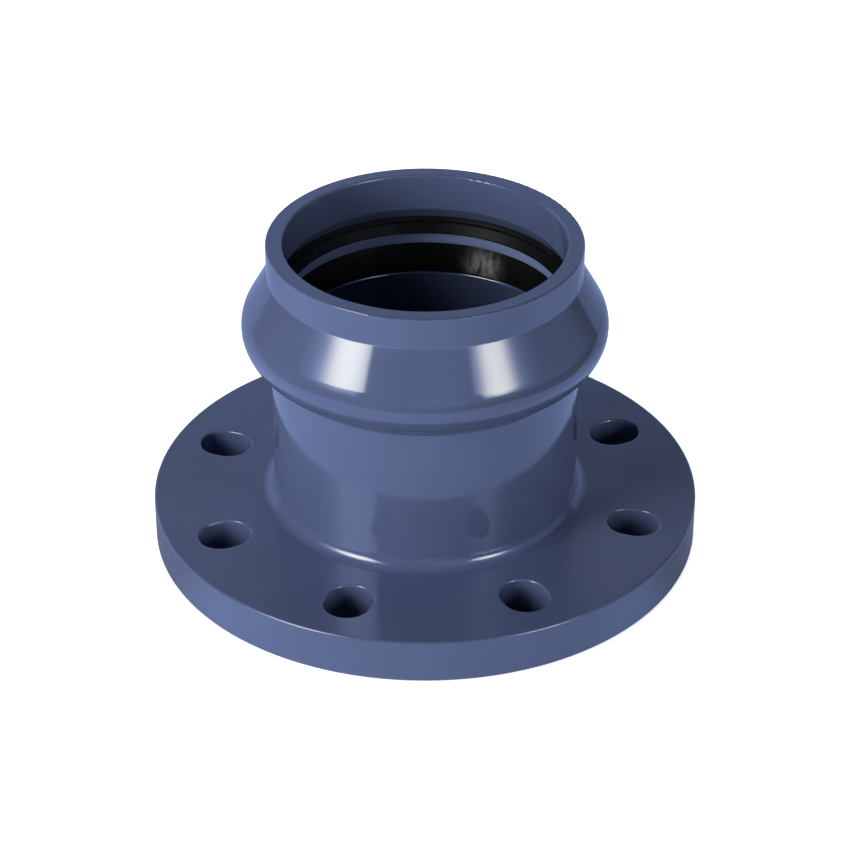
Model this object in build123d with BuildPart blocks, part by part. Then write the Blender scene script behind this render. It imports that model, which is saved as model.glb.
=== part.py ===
from build123d import *
import math
import os

# A flanged pipe socket moulded in rigid PVC: a round bolting flange, a neck, and a push-fit socket
# for a plastic pipe. A rubber sealing ring sits in the groove inside the socket's bulge, and a hard
# plastic locking ring sits in the rubber and keeps it in the groove.
#
# The Z axis is the pipe's axis. Z = 0 is the flange's sealing face, and the socket opens upwards.
# Every length is in millimetres. A radius or a height is measured from the axis or from Z = 0.

# Driving dimensions of the socket and its neck
pipe_diameter = 110.0
socket_clearance = 0.2  # between pipe and socket wall, all round
neck_wall = 6.0
neck_height = 62.3  # from the flange's top face to the level of the bulge's lowest point
neck_base_fillet = 4.7

# Driving dimensions of the bulge that holds the seal
bulge_wall = 6.4
bulge_nose_radius = 13.8  # outside radius of the bulge's round nose
cone_angle = 30.0  # between the bulge's upper flank and the axis, in degrees
shelf_width = 3.2  # from the socket wall to the centre of the nose
bulge_neck_fillet = 3.0
lead_in_width = 2.2  # chamfer that leads the pipe from the groove back into the socket
lead_in_depth = 1.9
lead_in_round = 0.9

# Driving dimensions of the collar at the mouth
collar_wall = 6.6
collar_height = 12.9
collar_step = 0.5  # how far the collar stands out past the top of the cone
mouth_outer_round = 0.6
mouth_inner_round = 0.8
collar_foot_round = 0.3

# Driving dimensions of the flange
flange_thickness = 18.0
flange_edge_round = 1.0
flow_bore_step = 4.7  # width of the ledge that the pipe's end stops on
stop_height = 16.0
ledge_round = 0.8
flow_bore_round = 1.0

# Driving dimensions of the bolt slots, which take bolts on two neighbouring bolt circles
slot_count = 8
slot_width = 18.0
slot_spread = 3.0  # from the centre of one round end of a slot to the other
slot_top_round = 0.8
slot_foot_round = 0.5
spanner_room = 11.6  # from the neck's base fillet to the slots
rim_land = 11.5  # from the slots to the flange's rim

# Driving dimensions of the sealing face's grooves
groove_count = 4
groove_pitch = 3.4
groove_depth = 0.6
first_groove_offset = 6.0  # from the flow bore to the innermost groove

# Driving dimensions of the rubber sealing ring
seal_seat_clearance = 0.1
seal_front_height = 16.1  # from the centre of the nose up to the seal's front edge
front_bead_width = 1.3
front_bead_drop = 1.6
front_bead_height = 1.0
front_lip_reach = 1.3  # how far the front lip reaches inside the socket wall
front_lip_thickness = 0.5
sealing_lip_reach = 2.0  # how far the sealing lip reaches inside the socket wall
sealing_lip_thickness = 1.7
sealing_lip_recess = 0.8  # how far the lip's root lies outside the socket wall
lip_pocket_depth = 5.8  # the hollow behind the sealing lip, open to the pressure side
lip_pocket_width = 2.4
lip_edge_rise = 0.3  # from the lip's outer edge up to its inner edge

# Driving dimensions of the locking ring
ring_clearance = 0.1
ring_height = 5.0
ring_wall = 6.6  # at the ring's lower, wider side
ring_level = 4.5  # from the centre of the nose up to the ring's lower side
ring_recess = 0.2  # how far the ring's inner face lies outside the socket wall
ring_edge_round = 0.4

# Radii and heights that follow from the driving dimensions
cone_sine = math.sin(math.radians(cone_angle))
cone_cosine = math.cos(math.radians(cone_angle))
socket_radius = pipe_diameter / 2 + socket_clearance
neck_radius = socket_radius + neck_wall
collar_radius = socket_radius + collar_wall
flow_radius = socket_radius - flow_bore_step
nose_centre_radius = socket_radius + shelf_width
nose_centre_height = flange_thickness + neck_height + bulge_nose_radius
groove_nose_radius = bulge_nose_radius - bulge_wall
shelf_height = nose_centre_height - groove_nose_radius
cone_top_radius = collar_radius - collar_step


def cone_height_at(radius, nose_radius):
    """Height at which a flank tangent to a nose of this radius is this far from the axis."""
    across = (radius - nose_centre_radius) * cone_cosine
    return nose_centre_height + (nose_radius - across) / cone_sine


def cone_radius_at(height, nose_radius):
    """Distance from the axis of that flank at a height."""
    along = (height - nose_centre_height) * cone_sine
    return nose_centre_radius + (nose_radius - along) / cone_cosine


def nose_point(nose_radius, degrees):
    """Point of the nose circle, with the angle counted up from the outward direction."""
    turn = math.radians(degrees)
    return (
        nose_centre_radius + nose_radius * math.cos(turn),
        nose_centre_height + nose_radius * math.sin(turn),
    )


collar_foot_height = cone_height_at(cone_top_radius, bulge_nose_radius)
overall_height = collar_foot_height + collar_height
groove_top_height = cone_height_at(socket_radius, groove_nose_radius)

# The concave fillet under the bulge touches the neck and the nose circle
neck_fillet_centre_radius = neck_radius + bulge_neck_fillet
neck_fillet_offset = neck_fillet_centre_radius - nose_centre_radius
neck_fillet_reach = bulge_nose_radius + bulge_neck_fillet
neck_fillet_drop = math.sqrt(neck_fillet_reach**2 - neck_fillet_offset**2)
neck_fillet_angle = math.degrees(math.atan2(-neck_fillet_drop, neck_fillet_offset))
neck_top_height = nose_centre_height - neck_fillet_drop

slot_length = slot_width + slot_spread
bolt_circle_radius = neck_radius + neck_base_fillet + spanner_room + slot_length / 2
flange_radius = bolt_circle_radius + slot_length / 2 + rim_land


def circles_at(edges, radius, height):
    """The circular edges of this radius at this height."""
    near = 0.01
    return [
        edge
        for edge in edges.filter_by(GeomType.CIRCLE)
        if abs(edge.radius - radius) < near and abs(edge.arc_center.Z - height) < near
    ]


def slot_edges_at(edges, height):
    """The edges of the bolt slots in one face of the flange."""
    near = 0.01
    found = []
    for edge in edges:
        middle = edge.center()
        reach = math.hypot(middle.X, middle.Y)
        level = abs(middle.Z - height) < near
        if level and abs(reach - bolt_circle_radius) < slot_length / 2 + near:
            found.append(edge)
    return found


# The body is one moulding. Its section is turned round the axis, then the slots are cut.
with BuildPart() as flange_socket:
    with BuildSketch(Plane.XZ):
        with BuildLine():
            foot = Polyline(
                (flow_radius, stop_height),
                (flow_radius, 0),
                (flange_radius, 0),
                (flange_radius, flange_thickness),
                (neck_radius, flange_thickness),
                (neck_radius, neck_top_height),
            )
            under_bulge = RadiusArc(
                foot @ 1,
                nose_point(bulge_nose_radius, neck_fillet_angle),
                bulge_neck_fillet,
            )
            nose = ThreePointArc(
                under_bulge @ 1,
                nose_point(bulge_nose_radius, 0),
                nose_point(bulge_nose_radius, cone_angle),
            )
            collar = Polyline(
                nose @ 1,
                (cone_top_radius, collar_foot_height),
                (collar_radius, collar_foot_height),
                (collar_radius, overall_height),
                (socket_radius, overall_height),
                (socket_radius, groove_top_height),
                nose_point(groove_nose_radius, cone_angle),
            )
            groove_nose = ThreePointArc(
                collar @ 1,
                nose_point(groove_nose_radius, 0),
                nose_point(groove_nose_radius, -90),
            )
            Polyline(
                groove_nose @ 1,
                (socket_radius + lead_in_width, shelf_height),
                (socket_radius, shelf_height - lead_in_depth),
                (socket_radius, stop_height),
                (flow_radius, stop_height),
            )
        make_face()
    revolve(axis=Axis.Z)
    fillet(circles_at(flange_socket.edges(), neck_radius, flange_thickness), neck_base_fillet)
    fillet(
        circles_at(flange_socket.edges(), flange_radius, flange_thickness)
        + circles_at(flange_socket.edges(), flange_radius, 0),
        flange_edge_round,
    )
    fillet(circles_at(flange_socket.edges(), collar_radius, overall_height), mouth_outer_round)
    fillet(circles_at(flange_socket.edges(), socket_radius, overall_height), mouth_inner_round)
    fillet(circles_at(flange_socket.edges(), collar_radius, collar_foot_height), collar_foot_round)
    lead_in_foot = circles_at(flange_socket.edges(), socket_radius, shelf_height - lead_in_depth)
    fillet(lead_in_foot, lead_in_round)
    fillet(circles_at(flange_socket.edges(), flow_radius, stop_height), ledge_round)
    fillet(circles_at(flange_socket.edges(), flow_radius, 0), flow_bore_round)

    # Bolt slots run radially, and the first lies on the X axis
    with BuildSketch(Plane.XY):
        with PolarLocations(bolt_circle_radius, slot_count):
            SlotCenterToCenter(slot_spread, slot_width)
    extrude(amount=flange_thickness, mode=Mode.SUBTRACT)
    fillet(slot_edges_at(flange_socket.edges(), flange_thickness), slot_top_round)
    fillet(slot_edges_at(flange_socket.edges(), 0), slot_foot_round)

    # V grooves round the bore let the gasket bite into the sealing face
    with BuildSketch(Plane.XZ):
        for number in range(groove_count):
            groove_radius = flow_radius + first_groove_offset + number * groove_pitch
            with BuildLine():
                Polyline(
                    (groove_radius - groove_depth, 0),
                    (groove_radius, groove_depth),
                    (groove_radius + groove_depth, 0),
                    close=True,
                )
            make_face()
    revolve(axis=Axis.Z, mode=Mode.SUBTRACT)

flange_socket.part.label = "flange_socket"

# The locking ring is a wedge in section, so that the groove's cone holds it down on the rubber
ring_inner_radius = socket_radius + ring_recess
ring_outer_radius = ring_inner_radius + ring_wall
ring_foot_height = nose_centre_height + ring_level
ring_top_height = ring_foot_height + ring_height
ring_lean = ring_height * cone_sine / cone_cosine

with BuildPart() as locking_ring:
    with BuildSketch(Plane.XZ):
        with BuildLine():
            Polyline(
                (ring_inner_radius, ring_foot_height),
                (ring_outer_radius, ring_foot_height),
                (ring_outer_radius - ring_lean, ring_top_height),
                (ring_inner_radius, ring_top_height),
                close=True,
            )
        make_face()
    revolve(axis=Axis.Z)
    fillet(locking_ring.edges().filter_by(GeomType.CIRCLE), ring_edge_round)

locking_ring.part.label = "locking_ring"

# The seal fills the groove behind the ring. Its front lip covers the ring's edge, and its long
# sealing lip leans in past the socket wall, to press on the pipe.
seal_nose_radius = groove_nose_radius - seal_seat_clearance
seal_foot_height = nose_centre_height - seal_nose_radius
front_edge_height = nose_centre_height + seal_front_height
front_edge_radius = cone_radius_at(front_edge_height, seal_nose_radius)
pocket_outer_radius = ring_outer_radius + ring_clearance / cone_cosine
pocket_foot_height = ring_foot_height - ring_clearance
pocket_top_height = ring_top_height + ring_clearance
pocket_foot_radius = pocket_outer_radius + ring_clearance * cone_sine / cone_cosine
pocket_lean = (pocket_top_height - pocket_foot_height) * cone_sine / cone_cosine
lip_root_radius = socket_radius + sealing_lip_recess
lip_end_radius = socket_radius - sealing_lip_reach
front_lip_radius = socket_radius - front_lip_reach
lip_back_radius = lip_end_radius + sealing_lip_thickness
heel_radius = lip_back_radius + lip_pocket_width

with BuildPart() as sealing_ring:
    with BuildSketch(Plane.XZ):
        with BuildLine():
            front = Polyline(
                nose_point(seal_nose_radius, cone_angle),
                (front_edge_radius, front_edge_height),
                (front_edge_radius - front_bead_width, front_edge_height - front_bead_drop),
                (
                    front_edge_radius - front_bead_width,
                    front_edge_height - front_bead_drop - front_bead_height,
                ),
                (front_lip_radius, pocket_top_height + front_lip_thickness),
                (front_lip_radius, pocket_top_height),
                (pocket_foot_radius - pocket_lean, pocket_top_height),
                (pocket_foot_radius, pocket_foot_height),
                (lip_root_radius, pocket_foot_height),
                (lip_end_radius, seal_foot_height + lip_edge_rise),
                (lip_back_radius, seal_foot_height),
                ((lip_back_radius + heel_radius) / 2, seal_foot_height + lip_pocket_depth),
                (heel_radius, seal_foot_height),
                nose_point(seal_nose_radius, -90),
            )
            ThreePointArc(front @ 1, nose_point(seal_nose_radius, 0), front @ 0)
        make_face()
    revolve(axis=Axis.Z)

sealing_ring.part.label = "sealing_ring"

os.makedirs("parts", exist_ok=True)
export_step(flange_socket.part, "parts/flange_socket.step")
export_step(locking_ring.part, "parts/locking_ring.step")
export_step(sealing_ring.part, "parts/sealing_ring.step")

print(f"height {overall_height:.2f}, flange {2 * flange_radius:.2f} across")
print(f"bulge {2 * (nose_centre_radius + bulge_nose_radius):.2f} across at {nose_centre_height:.2f}")
print(f"bolt slots on a circle of {2 * bolt_circle_radius:.2f}")
print(f"socket {2 * socket_radius:.2f}, flow bore {2 * flow_radius:.2f}")
print(f"collar foot {collar_foot_height:.2f}, groove top {groove_top_height:.2f}, shelf {shelf_height:.2f}")
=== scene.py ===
# %% [markdown]
# # A pipe flange with a push-fit socket
#
# This part is moulded in rigid PVC. Its round flange is bolted to a valve or a pump, and a plastic
# pipe is pushed into the socket on top, where a rubber ring seals it and a hard ring holds the
# rubber in its groove.
#
# The imported CAD model gives every shape and size. It is loaded first and stays as it is.

import math

import bmesh
import bpy
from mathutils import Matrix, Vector


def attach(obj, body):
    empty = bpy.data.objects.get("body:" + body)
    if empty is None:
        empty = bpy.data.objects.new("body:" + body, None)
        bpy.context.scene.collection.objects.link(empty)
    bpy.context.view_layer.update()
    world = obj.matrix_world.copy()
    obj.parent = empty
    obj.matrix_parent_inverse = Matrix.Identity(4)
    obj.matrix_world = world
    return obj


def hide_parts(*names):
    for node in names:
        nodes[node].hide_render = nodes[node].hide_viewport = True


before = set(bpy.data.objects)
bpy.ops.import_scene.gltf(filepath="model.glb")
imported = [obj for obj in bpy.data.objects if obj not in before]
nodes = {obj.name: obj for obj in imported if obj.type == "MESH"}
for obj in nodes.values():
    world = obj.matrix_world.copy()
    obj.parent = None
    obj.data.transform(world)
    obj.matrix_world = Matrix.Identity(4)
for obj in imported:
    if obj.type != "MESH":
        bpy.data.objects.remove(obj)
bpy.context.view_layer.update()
print("nodes:", sorted(nodes))

# %% [markdown]
# ## The camera
#
# The photograph was taken with a long lens from well above the flange. A camera could be placed by
# eye until the outlines meet. Here its place was worked out from the ellipses that the flange, the
# neck and the mouth make in the picture, because ellipses give the height and the distance together.

# %% Place the camera
camera_turn = math.radians(19.4)  # round the pipe's axis, from the -Y side
camera_reach = 0.915  # level distance from the pipe's axis
camera_height = 0.619
camera_tilt = math.radians(32.09)  # below the horizon

camera_data = bpy.data.cameras.new("photo_camera")
camera_data.lens = 113.6
camera_data.sensor_width = 36.0
camera = bpy.data.objects.new("photo_camera", camera_data)
camera.location = (
    camera_reach * math.sin(camera_turn),
    -camera_reach * math.cos(camera_turn),
    camera_height,
)
camera.rotation_euler = (math.radians(90) - camera_tilt, 0, camera_turn)
bpy.context.scene.collection.objects.link(camera)
bpy.context.scene.camera = camera
print("camera at", [round(value, 3) for value in camera.location])

# %% [markdown]
# ## Helpers for material nodes
#
# Materials here are graphs of nodes. They could be typed out link by link, which takes many lines
# and is hard to read. A few helpers do it instead: one adds a node with its settings, and two make
# and place a node group with named sockets, for effects that several materials share.

# %% Add a node, and make a group


def feed(tree, socket, value):
    """Links another node's output to a socket, or sets a plain value on it."""
    if isinstance(value, bpy.types.NodeSocket):
        tree.links.new(value, socket)
    else:
        socket.default_value = value


def add_node(tree, kind, settings=None, **inputs):
    """A node with its inputs fed: From_Min= feeds the input From Min, and _0= the first input."""
    node = tree.nodes.new(kind)
    for name, value in (settings or {}).items():
        setattr(node, name, value)
    for name, value in inputs.items():
        key = int(name[1:]) if name.startswith("_") else name.replace("_", " ")
        feed(tree, node.inputs[key], value)
    return node


def new_group(name, inputs, output):
    """A group's tree, the numbers it is given, by name, and the socket for its result."""
    tree = bpy.data.node_groups.new(name, "ShaderNodeTree")
    for label, value in inputs.items():
        socket = tree.interface.new_socket(label, in_out="INPUT", socket_type="NodeSocketFloat")
        socket.default_value = value
    tree.interface.new_socket(output, in_out="OUTPUT", socket_type="NodeSocketFloat")
    given = tree.nodes.new("NodeGroupInput").outputs
    result = tree.nodes.new("NodeGroupOutput").inputs[output]
    return tree, given, result


def place_group(tree, group, **inputs):
    """The output of the group, placed in a material with the material's own values."""
    return add_node(tree, "ShaderNodeGroup", {"node_tree": group}, **inputs).outputs[0]


print("helpers ready: feed, add_node, new_group, place_group")

# %% [markdown]
# ## Moulded surface
#
# A moulding is never a perfect mirror. The plastic shrinks a little unevenly as it cools, so wide
# faces are gently wavy, and the mould's polish leaves a very fine grain. Both could be modelled in
# the mesh, which would take millions of faces. A height from two noises does it in the material.

# %% Places, noises and sums


def object_place(tree):
    """Where a point lies on the object, in metres."""
    return add_node(tree, "ShaderNodeTexCoord").outputs["Object"]


def noise(tree, place, scale, detail, roughness=0.5):
    """A cloudy value from 0 to 1 that changes from place to place."""
    return add_node(
        tree, "ShaderNodeTexNoise", Vector=place, Scale=scale, Detail=detail, Roughness=roughness
    ).outputs["Fac"]


def calculate(tree, operation, *values):
    """The result of a Math node."""
    numbered = {f"_{index}": value for index, value in enumerate(values)}
    return add_node(tree, "ShaderNodeMath", {"operation": operation}, **numbered).outputs[0]


print("helpers ready: object_place, noise, calculate")

# %% Group: moulded surface
moulded_surface, given, result = new_group(
    "moulded_surface",
    {"Wave Scale": 30.0, "Wave Height": 1.0, "Grain Scale": 2500.0, "Grain Height": 0.02},
    "Height",
)
place = object_place(moulded_surface)
wave = noise(moulded_surface, place, given["Wave Scale"], detail=1.0, roughness=0.4)
grain = noise(moulded_surface, place, given["Grain Scale"], detail=2.0, roughness=0.6)
wave_height = calculate(moulded_surface, "MULTIPLY", wave, given["Wave Height"])
both_heights = calculate(
    moulded_surface, "MULTIPLY_ADD", grain, given["Grain Height"], wave_height
)
feed(moulded_surface, result, both_heights)
print("group", moulded_surface.name, "gives a height")

# %% [markdown]
# ## Handling marks
#
# Fittings lie in bins and crates, so their gloss is broken by faint scuffs and hairline scratches.
# Scratches could be drawn one by one. A noise that is stretched long and thin gives hundreds, and a
# coarse noise lets them show in some places only. The mask roughens the gloss where it is white.

# %% Cut a mask out of a value


def ramp(tree, value, start, end, low=0.0, high=1.0):
    """Low where the value is at the start, high where it is at the end, and straight between."""
    return add_node(
        tree,
        "ShaderNodeMapRange",
        Value=value,
        From_Min=start,
        From_Max=end,
        To_Min=low,
        To_Max=high,
    ).outputs[0]


def soft_step(tree, value, start, end):
    """0 where the value is at the start, 1 where it is at the end, and smooth between them."""
    return add_node(
        tree,
        "ShaderNodeMapRange",
        {"interpolation_type": "SMOOTHSTEP"},
        Value=value,
        From_Min=start,
        From_Max=end,
    ).outputs[0]


print("helpers ready: ramp, soft_step")

# %% Group: handling marks
scratch_directions = (  # a rotation, and how much finer the noise is along each axis
    ((0.4, 0.3, 0.5), (14.0, 1.0, 1.2)),
    ((1.3, 0.2, 1.9), (1.0, 16.0, 1.4)),
)
scratch_level = (0.66, 0.74)  # only the noise's peaks are scratches
patch_level = (0.42, 0.72)

handling_marks, given, result = new_group(
    "handling_marks", {"Scratch Scale": 60.0, "Patch Scale": 18.0}, "Marks"
)
place = object_place(handling_marks)
scratch_masks = []
for rotation, fineness in scratch_directions:
    turned = add_node(
        handling_marks, "ShaderNodeMapping", Vector=place, Rotation=rotation, Scale=fineness
    )
    lines = noise(
        handling_marks, turned.outputs[0], given["Scratch Scale"], detail=3.0, roughness=0.55
    )
    scratch_masks.append(ramp(handling_marks, lines, *scratch_level))
scratches = calculate(handling_marks, "MAXIMUM", *scratch_masks)
patches = noise(handling_marks, place, given["Patch Scale"], detail=4.0, roughness=0.6)
patch_mask = soft_step(handling_marks, patches, *patch_level)
feed(handling_marks, result, calculate(handling_marks, "MULTIPLY", scratches, patch_mask))
print("group", handling_marks.name, "gives a mask")

# %% [markdown]
# ## Worn edges and their sheen
#
# Corners touch things first, so they are rubbed a little paler and duller than the faces. On the PVC
# the paler colour also stands for the light that the rounded edges catch, so there it is partly a
# painted sheen. The mask could come from the mesh's curvature, but that depends on how finely it is
# cut. The Bevel node rounds the normal near an edge instead, and where it differs from the true one
# there is an edge.

# %% Calculate with vectors


def calculate_vector(tree, operation, *values):
    """The result of a Vector Math node, which is a number where it measures something."""
    numbered = {f"_{index}": value for index, value in enumerate(values)}
    node = add_node(tree, "ShaderNodeVectorMath", {"operation": operation}, **numbered)
    measures = operation in ("DOT_PRODUCT", "LENGTH", "DISTANCE")
    return node.outputs["Value" if measures else "Vector"]


print("helper ready: calculate_vector")

# %% Group: edge wear and sheen
edge_agreement = (0.998, 0.94)  # of the two normals, where wear starts and where it is full
breakup_level = (0.2, 0.6)

edge_wear_and_sheen, given, result = new_group(
    "edge_wear_and_sheen", {"Width": 0.001, "Breakup Scale": 140.0}, "Edges"
)
rounded = add_node(edge_wear_and_sheen, "ShaderNodeBevel", {"samples": 6}, Radius=given["Width"])
true_normal = add_node(edge_wear_and_sheen, "ShaderNodeNewGeometry").outputs["Normal"]
agreement = calculate_vector(edge_wear_and_sheen, "DOT_PRODUCT", rounded.outputs[0], true_normal)
edge_mask = ramp(edge_wear_and_sheen, agreement, *edge_agreement)
place = object_place(edge_wear_and_sheen)
breakup = noise(edge_wear_and_sheen, place, given["Breakup Scale"], detail=5.0, roughness=0.65)
breakup_mask = ramp(edge_wear_and_sheen, breakup, *breakup_level)
feed(edge_wear_and_sheen, result, calculate(edge_wear_and_sheen, "MULTIPLY", edge_mask, breakup_mask))
print("group", edge_wear_and_sheen.name, "gives a mask")

# %% [markdown]
# ## Dust
#
# Dust settles on what faces up, unevenly. It could be a second, see-through shell over the part. A
# mask is enough: how far the surface faces up, times a cloudy noise. Black rubber shows it most.

# %% Group: dust
settling_slope = (-0.3, 1.0)  # none where the normal points this far down, most where it points up
cloud_level = (0.45, 0.75)

dust, given, result = new_group("dust", {"Cloud Scale": 40.0}, "Dust")
true_normal = add_node(dust, "ShaderNodeNewGeometry").outputs["Normal"]
facing = add_node(dust, "ShaderNodeSeparateXYZ", Vector=true_normal)
upward = ramp(dust, facing.outputs["Z"], *settling_slope)
clouds = noise(dust, object_place(dust), given["Cloud Scale"], detail=6.0, roughness=0.7)
cloud_mask = soft_step(dust, clouds, *cloud_level)
feed(dust, result, calculate(dust, "MULTIPLY", upward, cloud_mask))
print("group", dust.name, "gives a mask")

# %% [markdown]
# ## The moulded PVC
#
# The body is one glossy blue-grey moulding. A flat colour with a low roughness would look like a
# toy. Here the colour drifts a little, as the pigment does in the melt, edges are slightly paler,
# from wear and as a painted sheen, and the gloss is uneven where the part was handled.

# %% Start a material, mix colours and raise a surface


def new_material(name):
    """An empty node material with its Principled shader."""
    material = bpy.data.materials.new(name)
    material.use_nodes = True
    return material, material.node_tree, material.node_tree.nodes["Principled BSDF"]


def mix_colours(tree, factor, first, second):
    """The first colour where the factor is 0, the second where it is 1, and between them a mix."""
    node = add_node(tree, "ShaderNodeMix", {"data_type": "RGBA"}, _0=factor)
    first_colour, second_colour, mixed_colour = node.inputs[6], node.inputs[7], node.outputs[2]
    for socket, colour in ((first_colour, first), (second_colour, second)):
        feed(tree, socket, (*colour, 1.0) if isinstance(colour, tuple) else colour)
    return mixed_colour


def emboss(tree, shader, height, strength, distance):
    """Lets the height tilt the shader's normal, as if the surface were raised by it."""
    bump = add_node(tree, "ShaderNodeBump", Strength=strength, Distance=distance, Height=height)
    feed(tree, shader.inputs["Normal"], bump.outputs["Normal"])


print("helpers ready: new_material, mix_colours, emboss")

# %% Material: moulded PVC
pvc_colour = (0.088, 0.114, 0.222)
pvc_deep_colour = (0.080, 0.105, 0.204)
# the edges' colour: partly worn plastic, partly a painted sheen for the light that edges catch
pvc_worn_and_sheen_colour = (0.155, 0.19, 0.32)
pigment_level = (0.3, 0.7)
most_worn_and_sheen = 0.7
most_marked = 0.4
clean_roughness = 0.09
worn_roughness = 0.4

pvc, tree, shader = new_material("moulded_pvc")
pigment = noise(tree, object_place(tree), scale=22.0, detail=3.0)
drift = ramp(tree, pigment, *pigment_level)
plastic = mix_colours(tree, drift, pvc_colour, pvc_deep_colour)
edges = place_group(tree, edge_wear_and_sheen, Width=0.001, Breakup_Scale=160.0)
# painted sheen and wear: edges are paler, partly worn, partly for the light rounded edges catch
worn_and_sheen = calculate(tree, "MULTIPLY", edges, most_worn_and_sheen)
feed(tree, shader.inputs["Base Color"], mix_colours(tree, worn_and_sheen, plastic, pvc_worn_and_sheen_colour))

marks = place_group(tree, handling_marks, Scratch_Scale=55.0, Patch_Scale=16.0)
faint_marks = calculate(tree, "MULTIPLY", marks, most_marked)
gloss_loss = calculate(tree, "MAXIMUM", faint_marks, worn_and_sheen)
roughness = ramp(tree, gloss_loss, 0.0, 1.0, clean_roughness, worn_roughness)
feed(tree, shader.inputs["Roughness"], roughness)

surface = place_group(
    tree, moulded_surface, Wave_Scale=26.0, Wave_Height=1.0, Grain_Scale=2600.0, Grain_Height=0.004
)
emboss(tree, shader, surface, strength=0.35, distance=0.0006)
shader.inputs["IOR"].default_value = 1.53
print("material", pvc.name)

# %% [markdown]
# ## The locking ring
#
# A hard plastic ring sits in the rubber and keeps it from rolling out when the pipe goes in. In the
# socket it shows as a narrow band between two black ones. It is a plainer moulding with a satin
# surface, and fine lines run round it where the mould was turned on a lathe. They could be cut in
# the mesh, but they are far too fine for that. So a height in the material makes them, which goes
# up and down along the ring's section.

# %% Group: turned lines
turned_lines, given, result = new_group("turned_lines", {"Spacing": 0.0006, "Waver": 0.3}, "Lines")
place = object_place(turned_lines)
height = add_node(turned_lines, "ShaderNodeSeparateXYZ", Vector=place).outputs["Z"]
level_place = calculate_vector(turned_lines, "MULTIPLY", place, (1.0, 1.0, 0.0))
reach = calculate_vector(turned_lines, "LENGTH", level_place)
along_section = calculate(turned_lines, "ADD", height, reach)
counted = calculate(turned_lines, "DIVIDE", along_section, given["Spacing"])
waver = noise(turned_lines, place, scale=90.0, detail=2.0)
shifted = calculate(turned_lines, "MULTIPLY_ADD", waver, given["Waver"], counted)
feed(turned_lines, result, calculate(turned_lines, "PINGPONG", shifted, 0.5))
print("group", turned_lines.name, "gives a height")

# %% Material: locking ring plastic
ring_colour = (0.20, 0.26, 0.47)
ring_dusty_colour = (0.25, 0.31, 0.50)

ring_plastic, tree, shader = new_material("ring_plastic")
settled = place_group(tree, dust, Cloud_Scale=55.0)
feed(
    tree, shader.inputs["Base Color"], mix_colours(tree, settled, ring_colour, ring_dusty_colour)
)
edges = place_group(tree, edge_wear_and_sheen, Width=0.0005, Breakup_Scale=300.0)
feed(tree, shader.inputs["Roughness"], ramp(tree, edges, 0.0, 1.0, low=0.3, high=0.5))
lines = place_group(tree, turned_lines, Spacing=0.0007, Waver=0.4)
emboss(tree, shader, lines, strength=0.25, distance=0.00005)
print("material", ring_plastic.name)

# %% Give the CAD bodies their plastics


def dress(node_name, material):
    """Puts the material on a CAD node, in place of the plain one."""
    mesh = nodes[node_name].data
    mesh.materials.clear()
    mesh.materials.append(material)
    print(node_name, len(mesh.polygons), "faces, now", material.name)


dress("flange_socket", pvc)
dress("locking_ring", ring_plastic)

# %% [markdown]
# ## The rubber sealing ring
#
# The real seal is one rubber moulding. Its front edge rests in the groove with a small bead, a thin
# lip covers the locking ring, and a long lip leans in to press on the pipe. The CAD solid has this
# section with sharp corners. Rubber has none, so the section is drawn again with round corners and
# turned about the axis, as a lathe would. The piece stands where the CAD solid stands.

# %% Round the corners of a section


def round_corners(section, radii, steps=5):
    """The closed section with a short curve at each corner. Points and radii are in millimetres."""
    most_of_side = 0.45  # a curve may take up no more of the side next to it
    least_cut = 1e-4
    rounded_section = []
    for index, point in enumerate(section):
        corner = Vector(point)
        before = Vector(section[index - 1]) - corner
        after = Vector(section[(index + 1) % len(section)]) - corner
        cut = min(
            radii[index] / math.tan(before.angle(after) / 2),
            most_of_side * before.length,
            most_of_side * after.length,
        )
        if cut < least_cut:
            rounded_section.append(corner)
            continue
        start = corner + before.normalized() * cut
        end = corner + after.normalized() * cut
        for step in range(steps + 1):
            share = step / steps
            first = start.lerp(corner, share)
            second = corner.lerp(end, share)
            rounded_section.append(first.lerp(second, share))
    return rounded_section


print("helper ready: round_corners")

# %% Turn a section about the axis


def turn_section(name, section, segments):
    """A closed ring: the section, in millimetres from the axis and from the floor, turned round Z."""
    millimetres = 1000  # in a metre
    work = bmesh.new()
    rows = []
    for segment in range(segments):
        angle = 2 * math.pi * segment / segments
        row = []
        for point in section:
            level_x = point.x * math.cos(angle) / millimetres
            level_y = point.x * math.sin(angle) / millimetres
            row.append(work.verts.new((level_x, level_y, point.y / millimetres)))
        rows.append(row)
    for segment, row in enumerate(rows):
        following = rows[(segment + 1) % segments]
        for index in range(len(section)):
            onward = (index + 1) % len(section)
            face = work.faces.new((row[index], following[index], following[onward], row[onward]))
            face.smooth = True
    bmesh.ops.recalc_face_normals(work, faces=work.faces)
    mesh = bpy.data.meshes.new(name)
    work.to_mesh(mesh)
    work.free()
    piece = bpy.data.objects.new(name, mesh)
    bpy.context.scene.collection.objects.link(piece)
    return piece


print("helper ready: turn_section")

# %% Turn the sealing ring
nose_centre = Vector((58.4, 94.1))  # of the groove's round nose, from the axis and from the floor
seal_nose_radius = 7.3  # just inside the plastic
nose_degrees = range(-90, 31, 8)  # where the seal lies in the nose, up from the level
socket_radius = 55.2  # the pipe's own socket, above and below the seal
front_lip_radius = socket_radius - 1.3
front_lip_thickness = 0.5
bead_radius = 56.2
pocket_top = 103.74  # of the locking ring's pocket
pocket_floor = 98.48
sealing_lip_radius = socket_radius - 2.0
sealing_lip_thickness = 1.7
sealing_lip_root_radius = socket_radius + 0.8
lip_end = 86.82
lip_edge_rise = 0.28
hollow_top = 92.6  # of the hollow behind the sealing lip
hollow_width = 2.4
seal_segments = 192


def on_nose(degrees):
    """A point of the seal's round back."""
    turn = math.radians(degrees)
    return (
        nose_centre.x + seal_nose_radius * math.cos(turn),
        nose_centre.y + seal_nose_radius * math.sin(turn),
    )


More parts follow.
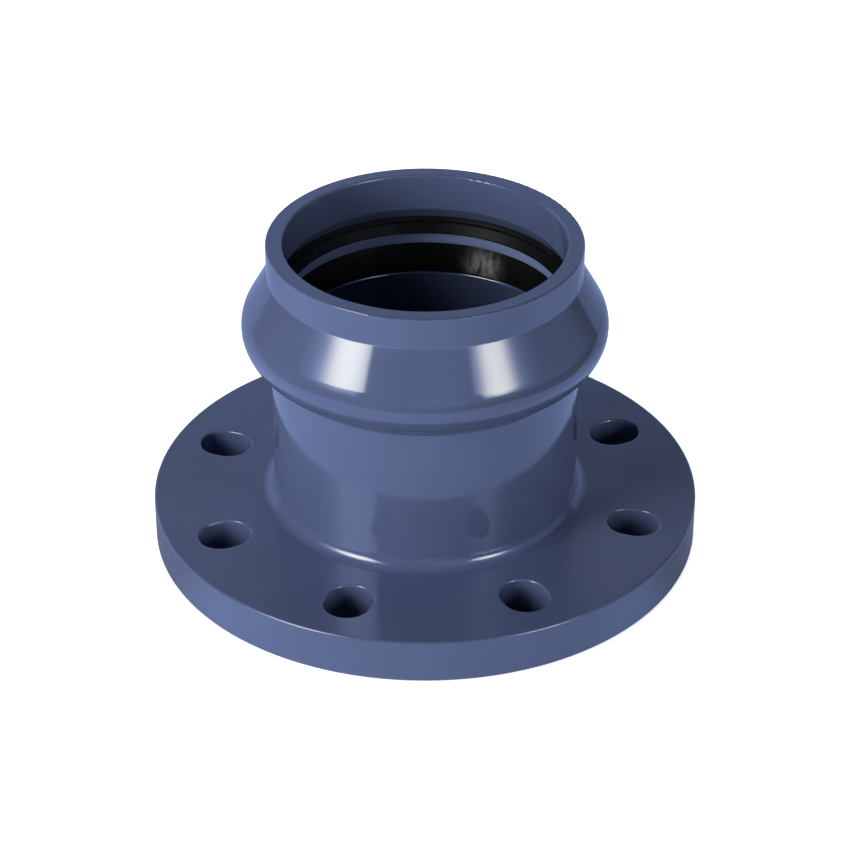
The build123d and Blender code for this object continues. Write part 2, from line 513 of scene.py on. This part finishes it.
lip_back_radius = sealing_lip_radius + sealing_lip_thickness
back = [(on_nose(degrees), 0.0) for degrees in nose_degrees]
front = [  # each point with its corner's radius, from the groove's upper edge down
    ((57.54, 110.16), 0.35),
    ((bead_radius, 108.6), 0.5),
    ((bead_radius, 107.55), 0.4),
    ((front_lip_radius, pocket_top + front_lip_thickness), 0.22),
    ((front_lip_radius, pocket_top), 0.22),
    ((59.2, pocket_top), 0.3),
    ((62.15, pocket_floor), 0.3),
    ((sealing_lip_root_radius, pocket_floor), 0.5),
    ((sealing_lip_radius, lip_end + lip_edge_rise), 0.5),
    ((lip_back_radius, lip_end), 0.5),
    ((lip_back_radius + hollow_width / 2, hollow_top), 0.5),
    ((lip_back_radius + hollow_width, lip_end), 0.4),
]
seal_points = [point for point, _ in back + front]
corner_radii = [radius for _, radius in back + front]
seal_section = round_corners(seal_points, corner_radii)
seal = turn_section("sealing_ring_rubber", seal_section, seal_segments)
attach(seal, "root")
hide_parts("sealing_ring")
print("sealing ring:", len(seal.data.polygons), "faces")

# %% [markdown]
# ## The rubber
#
# Moulded rubber is deep black with a soft sheen. Pure black would show no form, so the colour is a
# very dark grey, dusted paler where it faces up, and the turned mould leaves fine rings on it. On
# the long lip is a pale smear of dust, about a finger wide. It could be painted by hand. It is a
# slanting noise inside a small round region instead, whose place was worked out from the photograph.

# %% Mask: the smear on the long lip
smear_place = (0.0062, 0.0544, 0.0905)
smear_reach = 0.015
smear_core = 0.002
smear_falloff = 2.5
wiped_level = (0.3, 0.8)

rubber, tree, shader = new_material("seal_rubber")
place = object_place(tree)
from_smear = calculate_vector(tree, "DISTANCE", place, smear_place)
near_smear = soft_step(tree, from_smear, smear_reach, smear_core)
smear_strength = calculate(tree, "POWER", near_smear, smear_falloff)
leaning = add_node(
    tree, "ShaderNodeMapping", Vector=place, Rotation=(0.0, 0.5, 0.3), Scale=(1.0, 1.0, 0.35)
)
wiped = noise(tree, leaning.outputs[0], scale=420.0, detail=5.0, roughness=0.6)
smear = calculate(tree, "MULTIPLY", smear_strength, ramp(tree, wiped, *wiped_level))
print("smear at", smear_place, "reaching", smear_reach, "metres")

# %% Material: seal rubber
rubber_colour = (0.004, 0.0043, 0.0042)
rubber_dusty_colour = (0.016, 0.017, 0.016)
smear_colour = (0.45, 0.45, 0.44)

settled = place_group(tree, dust, Cloud_Scale=45.0)
dusted = mix_colours(tree, settled, rubber_colour, rubber_dusty_colour)
feed(tree, shader.inputs["Base Color"], mix_colours(tree, smear, dusted, smear_colour))
dull = calculate(tree, "MAXIMUM", settled, smear)
feed(tree, shader.inputs["Roughness"], ramp(tree, dull, 0.0, 1.0, low=0.4, high=0.8))
shader.inputs["Specular IOR Level"].default_value = 0.05
lines = place_group(tree, turned_lines, Spacing=0.0009, Waver=0.5)
emboss(tree, shader, lines, strength=0.3, distance=0.00008)
seal.data.materials.append(rubber)
print("material", rubber.name)

# %% [markdown]
# ## The floor
#
# The object stands on white paper. A plain white floor turns grey where the light falls off. So its
# colour is helped by a glow that only the camera and reflections see, and the soft shadow of the
# flange still shows on it. Just round the rim the glow fades out, which paints some of that shadow.
# The glossy sides of the part mirror the paper. In the photograph that mirror image is light blue
# and ends about 30 cm out to the front and the sides. Behind, the paper goes on and is dimmer, and
# close beside the flange's rear half it is dark, where a shadow of the part is painted. So
# reflections see the paper like that. Under the part the paper is painted dark, as painted shade, so
# that no light comes up through the bore and the slots.

# %% Lay the floor
floor_half = 6.0
floor_corners = [
    (side_x * floor_half, side_y * floor_half, 0)
    for side_x, side_y in ((-1, -1), (1, -1), (1, 1), (-1, 1))
]
floor_mesh = bpy.data.meshes.new("floor")
floor_mesh.from_pydata(floor_corners, [], [(0, 1, 2, 3)])
floor = bpy.data.objects.new("floor", floor_mesh)
bpy.context.scene.collection.objects.link(floor)
print("floor", 2 * floor_half, "metres wide")

# %% Find directions, and tell the kinds of rays apart


def side_of(azimuth):
    """The level direction at this angle round the object, in degrees to the right of the camera."""
    turn = camera_turn + math.radians(azimuth)
    return (math.sin(turn), -math.cos(turn), 0.0)


def towards(tree, place, azimuth):
    """How far a place or a direction goes to this side."""
    return calculate_vector(tree, "DOT_PRODUCT", place, side_of(azimuth))


def glossy_rays(tree):
    """1 for the rays of reflections, and 0 for all others."""
    return add_node(tree, "ShaderNodeLightPath").outputs["Is Glossy Ray"]


def seen_rays(tree):
    """1 for the rays of the camera, of reflections and through glass, and 0 for those that light."""
    rays = add_node(tree, "ShaderNodeLightPath").outputs
    through = calculate(tree, "MAXIMUM", rays["Is Glossy Ray"], rays["Is Transmission Ray"])
    return calculate(tree, "MAXIMUM", rays["Is Camera Ray"], through)


print("helpers ready: side_of, towards, glossy_rays, seen_rays")

# %% Mask the floor's areas
shade_card_edge = (0.104, 0.1125)  # metres from the axis: the painted shade under the part fades into the paper under the rim
table_edge = (0.31, 0.28)  # the paper's mirror image fades in from here inward
painted_shadow_edge = (0.14, 0.122)  # the painted shadow fades in from here inward
painted_shadow_front = (0.085, 0.04)  # metres towards the camera: and from here backward
dimming_front = (0.05, -0.15)  # the paper dims from here backward, to behind the part

paper, tree, shader = new_material("white_paper")
place = object_place(tree)
reach = calculate_vector(tree, "LENGTH", place)
beside = soft_step(tree, reach, *shade_card_edge)
forward = towards(tree, place, 0)
sideways = calculate(tree, "ABSOLUTE", towards(tree, place, 90))
across = calculate(tree, "ADD", sideways, calculate(tree, "MINIMUM", forward, 0.0))
furthest = calculate(tree, "MAXIMUM", forward, across)
on_table = soft_step(tree, furthest, *table_edge)
behind_front = soft_step(tree, forward, *painted_shadow_front)
# painted shadow: where the part's own shadow lies on the paper, close beside the flange's rear half
painted_shadow_mask = calculate(tree, "MULTIPLY", behind_front, soft_step(tree, reach, *painted_shadow_edge))
dimming = soft_step(tree, forward, *dimming_front)
print("dark card out to", shade_card_edge[1], "m, mirror image of the paper out to", table_edge[0], "m")

# %% Material: white paper
white = (1.0, 1.0, 1.0)
dark_room = (0.06, 0.06, 0.06)
paper_base = (0.8, 0.8, 0.8)
paper_base_mirrored = (0.02, 0.02, 0.02)
# painted shade: the paper under the part is dark, standing for the shade there
shade_card_colour = (0.015, 0.015, 0.015)
front_paper_image = (0.54, 0.78, 1.5)
back_paper_image = (0.27, 0.37, 0.7)
# painted shadow: the colour that reflections see of the paper in the part's shadow
painted_shadow_image = (0.15, 0.18, 0.27)

paper_image = mix_colours(tree, dimming, front_paper_image, back_paper_image)
table_image = mix_colours(tree, on_table, dark_room, paper_image)
mirror_image = mix_colours(tree, painted_shadow_mask, table_image, painted_shadow_image)
mirrored = glossy_rays(tree)
feed(tree, shader.inputs["Emission Color"], mix_colours(tree, mirrored, white, mirror_image))
paper_colour = mix_colours(tree, mirrored, paper_base, paper_base_mirrored)
feed(tree, shader.inputs["Base Color"], mix_colours(tree, beside, shade_card_colour, paper_colour))
# the glow stops under the part and fades near the rim, which paints a contact shadow there
glow = calculate(tree, "MULTIPLY", seen_rays(tree), beside)
feed(tree, shader.inputs["Emission Strength"], glow)
shader.inputs["Roughness"].default_value = 0.9
shader.inputs["Specular IOR Level"].default_value = 0.0
floor_mesh.materials.append(paper)
print("material", paper.name)

# %% [markdown]
# ## The room
#
# The room is a soft light from all round. The camera sees it white, as the photograph's background
# is. Shiny surfaces see a dark studio with a light blue backdrop behind the table and a light blue
# screen on the right. The dark room is what gives the glossy plastic its depth. The backdrop is what
# the level faces mirror, and the screen is what the right of the cone mirrors. The collar's top
# mirrors the backdrop's lower part and the flange mirrors its upper part, which is a dull grey. All
# this could be built of panels. As colours of the world it takes no room and casts no shadows.

# %% Paint what reflections see of the room
front_glow = (0.11, 0.16, 0.34)
screen_colour = (0.3, 0.42, 0.8)
low_backdrop_colour = (0.34, 0.47, 0.88)
high_backdrop_colour = (0.16, 0.17, 0.2)
screen_azimuth = 55  # degrees to the right of the camera
front_edge = (0.3, 0.8)  # each edge as the cosine of the angle off the middle, from none to full
screen_edge = (0.35, 0.7)
backdrop_edge = (0.57, 0.62)
grey_height = (0.49, 0.57)  # as the sine of the angle above the horizon

world = bpy.data.worlds.new("studio")
bpy.context.scene.world = world
world.use_nodes = True
tree = world.node_tree
tree.nodes.clear()
direction = add_node(tree, "ShaderNodeTexCoord").outputs["Generated"]
height = add_node(tree, "ShaderNodeSeparateXYZ", Vector=direction).outputs["Z"]
in_front = soft_step(tree, towards(tree, direction, 0), *front_edge)
on_screen = soft_step(tree, towards(tree, direction, screen_azimuth), *screen_edge)
on_backdrop = soft_step(tree, towards(tree, direction, 180), *backdrop_edge)
high_up = soft_step(tree, height, *grey_height)
front_image = mix_colours(tree, in_front, dark_room, front_glow)
side_image = mix_colours(tree, on_screen, front_image, screen_colour)
backdrop_image = mix_colours(tree, high_up, low_backdrop_colour, high_backdrop_colour)
room_image = mix_colours(tree, on_backdrop, side_image, backdrop_image)
room_colour = mix_colours(tree, glossy_rays(tree), white, room_image)
print("world", world.name, "with a backdrop and a screen for reflections")

# %% Light the room
low_fill = 0.18
high_fill = 0.015
fill_height = (0.0, 0.7)  # as the sine of the angle above the horizon


def mix_numbers(tree, factor, first, second):
    """The first number where the factor is 0, the second where it is 1, and between them a mix."""
    node = add_node(tree, "ShaderNodeMix", {"data_type": "FLOAT"}, _0=factor, _2=first, _3=second)
    return node.outputs[0]


fill = mix_numbers(tree, soft_step(tree, height, *fill_height), low_fill, high_fill)
strength = mix_numbers(tree, seen_rays(tree), fill, 1.0)
background = add_node(tree, "ShaderNodeBackground", Color=room_colour, Strength=strength)
add_node(tree, "ShaderNodeOutputWorld", Surface=background.outputs[0])
print("room fill from", low_fill, "at the horizon to", high_fill, "overhead")

# %% [markdown]
# ## The softboxes
#
# Two softboxes stand in front, left and right of the camera. Their mirror images are the two bright
# patches on the socket's cone. A softbox is brightest in its middle, so each patch fades at its
# edges, and there it is bluer in the photograph. One lamp could do both jobs, but then its glare and
# its light can't be set apart. So there are two panels that only reflections see, and four lamps
# that light the colour: a low and a high one on the left, a weaker one on the right, and one
# behind, which keeps the part's back from going dark when it is seen from there.

# %% Make and aim a panel
aim_height = 0.09  # on the axis, in the bulge
aim_point = Vector((0, 0, aim_height))


def new_panel(name, width, height, azimuth, elevation, distance):
    """An area lamp at this angle round the object, seen from the camera, turned to the aim point."""
    data = bpy.data.lights.new(name, "AREA")
    data.shape = "RECTANGLE"
    data.size = width
    data.size_y = height
    panel = bpy.data.objects.new(name, data)
    bpy.context.scene.collection.objects.link(panel)
    turn = camera_turn + math.radians(azimuth)
    rise = math.radians(elevation)
    panel.location = aim_point + distance * Vector(
        (math.cos(rise) * math.sin(turn), -math.cos(rise) * math.cos(turn), math.sin(rise))
    )
    panel.rotation_euler = (aim_point - panel.location).to_track_quat("-Z", "Y").to_euler()
    panel.visible_camera = False
    return panel


print("helper ready: new_panel, which aims", aim_height, "metres up the axis")

# %% Fade a panel towards its edges
core_colour = (1.0, 1.0, 0.92)
rim_colour = (0.42, 0.5, 1.0)
second_image_colour = (0.6, 0.74, 1.15)  # where the panel is mirrored in a mirror image
edge_steepness = 4.0
core_level = 0.7  # of the fading, above which the colour is the core's


def fade_panel(panel, radiance, centre, reach):
    """Brightest at the centre, given as shares of the sides, and half that at this reach, in metres."""
    data = panel.data
    data.energy = math.pi * data.size * data.size_y  # at which an emission of 1 is a radiance of 1
    data.use_nodes = True
    tree = data.node_tree
    tree.nodes.clear()
    place = add_node(tree, "ShaderNodeNewGeometry").outputs["Parametric"]
    from_centre = calculate_vector(tree, "SUBTRACT", place, (*centre, 0.0))
    scale = (data.size / reach, data.size_y / reach, 0.0)
    distance = calculate_vector(
        tree, "LENGTH", calculate_vector(tree, "MULTIPLY", from_centre, scale)
    )
    beyond = calculate(tree, "POWER", distance, edge_steepness)
    fading = calculate(tree, "DIVIDE", 1.0, calculate(tree, "ADD", beyond, 1.0))
    glow = mix_colours(tree, soft_step(tree, fading, 0.0, core_level), rim_colour, core_colour)
    bounces = add_node(tree, "ShaderNodeLightPath").outputs["Glossy Depth"]
    seen_glow = mix_colours(tree, soft_step(tree, bounces, 1.0, 2.0), glow, second_image_colour)
    emission = add_node(
        tree,
        "ShaderNodeEmission",
        Color=seen_glow,
        Strength=calculate(tree, "MULTIPLY", fading, radiance),
    )
    add_node(tree, "ShaderNodeOutputLight", Surface=emission.outputs[0])


print("helper ready: fade_panel")

# %% Hang the softboxes
glare_distance = 1.2
lamp_distance = 1.3
lamp_side = 0.5

for name, width, height, azimuth, elevation, radiance, centre, reach in (
    ("left_softbox_glare", 0.92, 1.17, -60, 34, 17.0, (0.675, 0.43), 0.3),
    ("right_softbox_glare", 0.85, 0.92, 52, 29, 14.0, (0.33, 0.29), 0.22),
):
    glare = new_panel(name, width, height, azimuth, elevation, glare_distance)
    fade_panel(glare, radiance, centre, reach)
    glare.visible_diffuse = False

for name, azimuth, elevation, watts in (
    ("left_softbox", -52, 13, 8.0),
    ("left_top_softbox", -58, 30, 7.5),
    ("right_softbox", 45, 12, 5.0),
    ("back_softbox", 178, 8, 11.0),
):
    lamp = new_panel(name, lamp_side, lamp_side, azimuth, elevation, lamp_distance)
    lamp.data.energy = watts
    lamp.visible_glossy = False

# %% [markdown]
# ## Finish
#
# The colours are shown as they are, with no film look.

# %% Finish
bpy.context.scene.view_settings.view_transform = "Standard"
